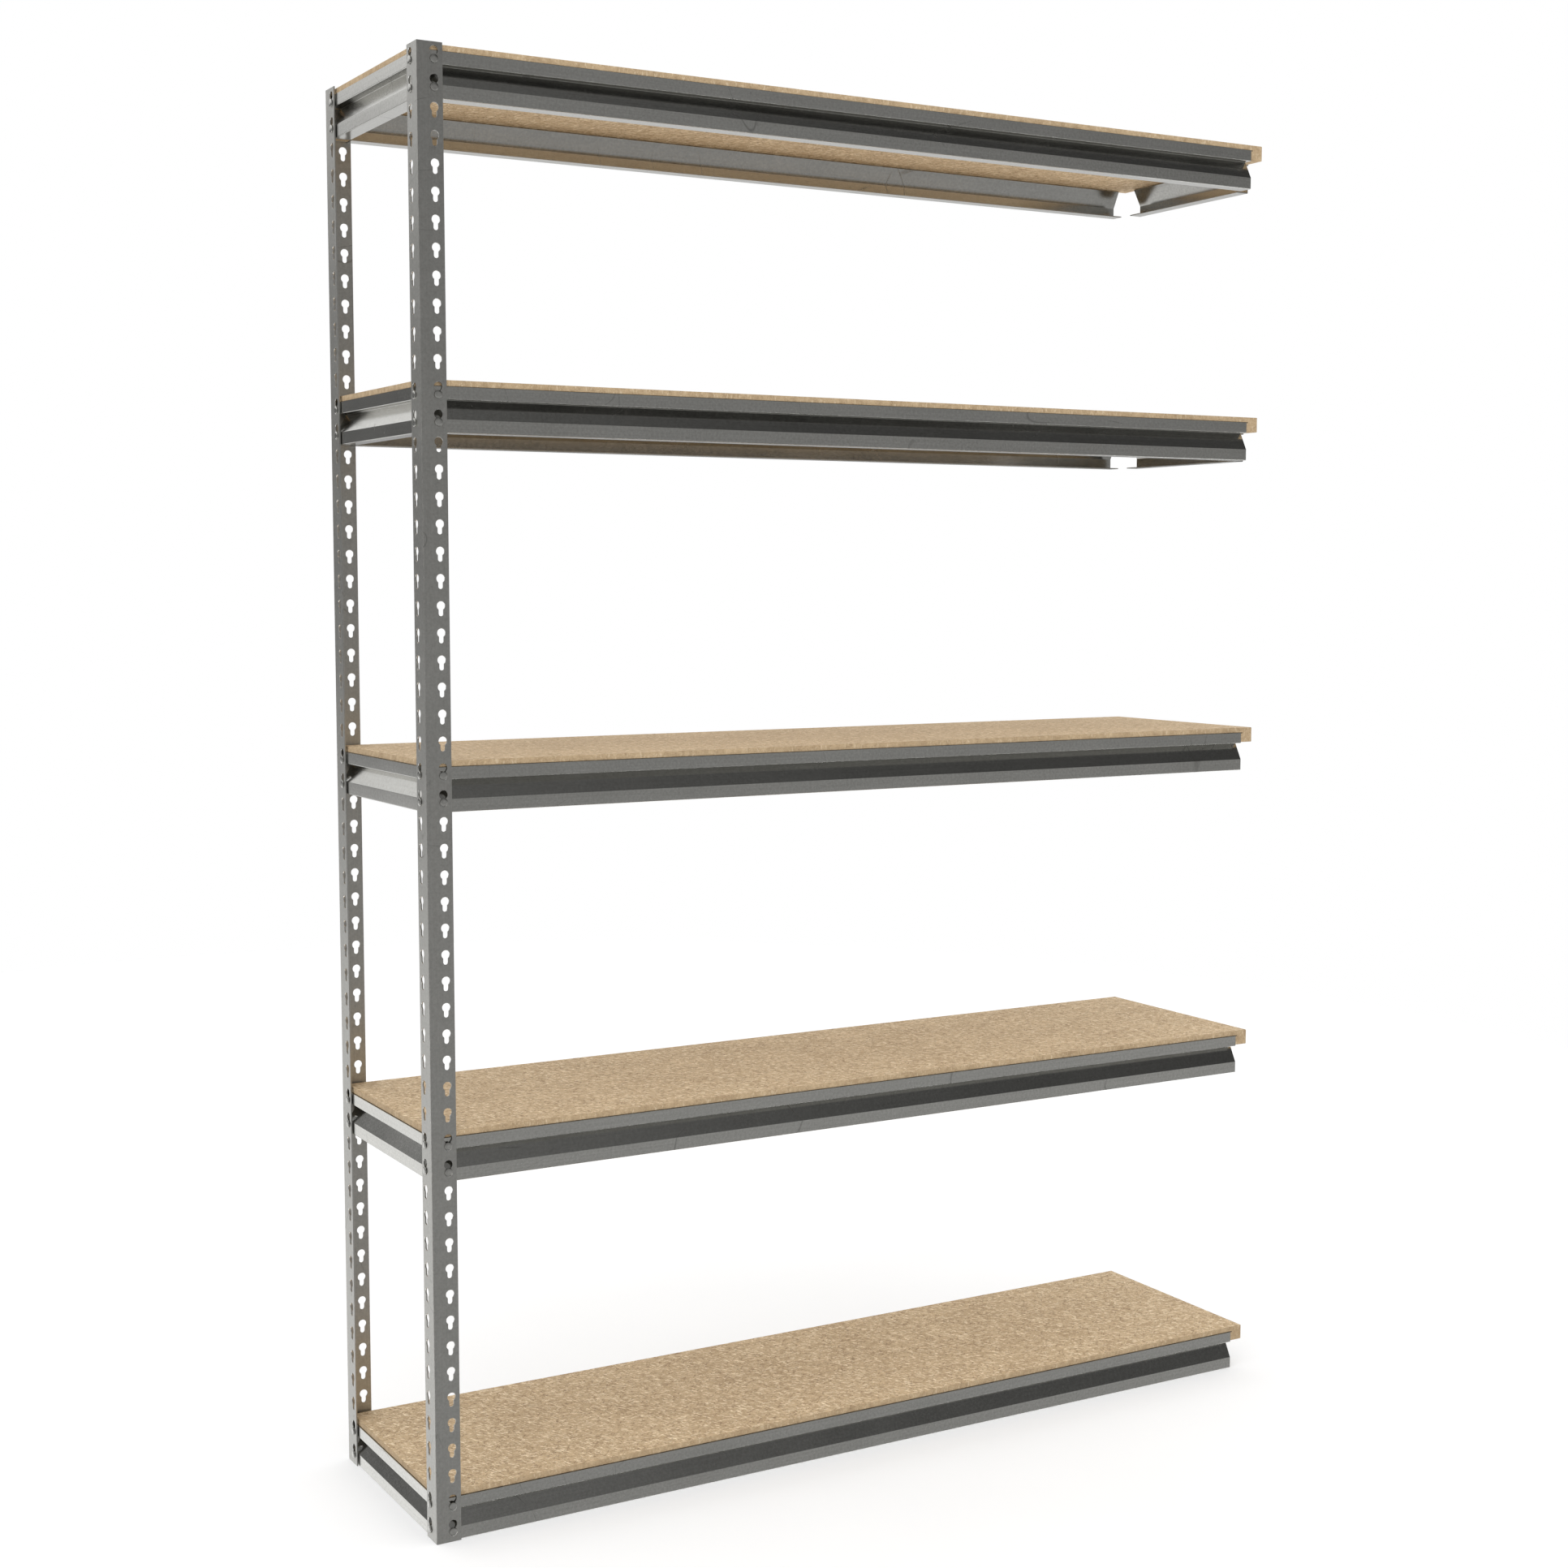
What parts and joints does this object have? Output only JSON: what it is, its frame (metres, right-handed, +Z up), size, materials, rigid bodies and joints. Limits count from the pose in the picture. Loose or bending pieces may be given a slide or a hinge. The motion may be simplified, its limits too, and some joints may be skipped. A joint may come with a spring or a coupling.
{
  "type": "boltless steel shelving",
  "caption": "Add-on bay of boltless steel shelving: keyholed angle posts at one end, riveted folded beams and lift-out particle boards, open at the other end.",
  "frame": {"origin": "on the floor at the middle of the bounding box", "axes": "+X right along the bay towards its open end, +Y back, +Z up"},
  "size_m": [1.5282, 0.3856, 2.1336],
  "materials": {
    "bare_steel": "bare mill-finish steel sheet, glossy grey with fine mottling and light drawing scratches",
    "particle_board": "raw particle board, fine tan and brown flakes, sawn edges"
  },
  "bodies": {
    "frame": {"front_post": "bare_steel", "rear_post": "bare_steel", "shelf_1_front_beam": "bare_steel", "shelf_1_rear_beam": "bare_steel", "shelf_1_left_beam": "bare_steel", "shelf_1_right_beam": "bare_steel", "shelf_2_front_beam": "bare_steel", "shelf_2_rear_beam": "bare_steel", "shelf_2_left_beam": "bare_steel", "shelf_2_right_beam": "bare_steel", "shelf_3_front_beam": "bare_steel", "shelf_3_rear_beam": "bare_steel", "shelf_3_left_beam": "bare_steel", "shelf_3_right_beam": "bare_steel", "shelf_4_front_beam": "bare_steel", "shelf_4_rear_beam": "bare_steel", "shelf_4_left_beam": "bare_steel", "shelf_4_right_beam": "bare_steel", "shelf_5_front_beam": "bare_steel", "shelf_5_rear_beam": "bare_steel", "shelf_5_left_beam": "bare_steel", "shelf_5_right_beam": "bare_steel"},
    "board_1": {"shelf_1_board": "particle_board"},
    "board_2": {"shelf_2_board": "particle_board"},
    "board_3": {"shelf_3_board": "particle_board"},
    "board_4": {"shelf_4_board": "particle_board"},
    "board_5": {"shelf_5_board": "particle_board"}
  },
  "joints": [
    {"name": "board_1_lift", "type": "slide", "parent": "frame", "child": "board_1", "axis": [0, 0, 1], "range_m": [0, 0.15]},
    {"name": "board_2_lift", "type": "slide", "parent": "frame", "child": "board_2", "axis": [0, 0, 1], "range_m": [0, 0.15]},
    {"name": "board_3_lift", "type": "slide", "parent": "frame", "child": "board_3", "axis": [0, 0, 1], "range_m": [0, 0.15]},
    {"name": "board_4_lift", "type": "slide", "parent": "frame", "child": "board_4", "axis": [0, 0, 1], "range_m": [0, 0.15]},
    {"name": "board_5_lift", "type": "slide", "parent": "frame", "child": "board_5", "axis": [0, 0, 1], "range_m": [0, 0.15]}
  ]
}
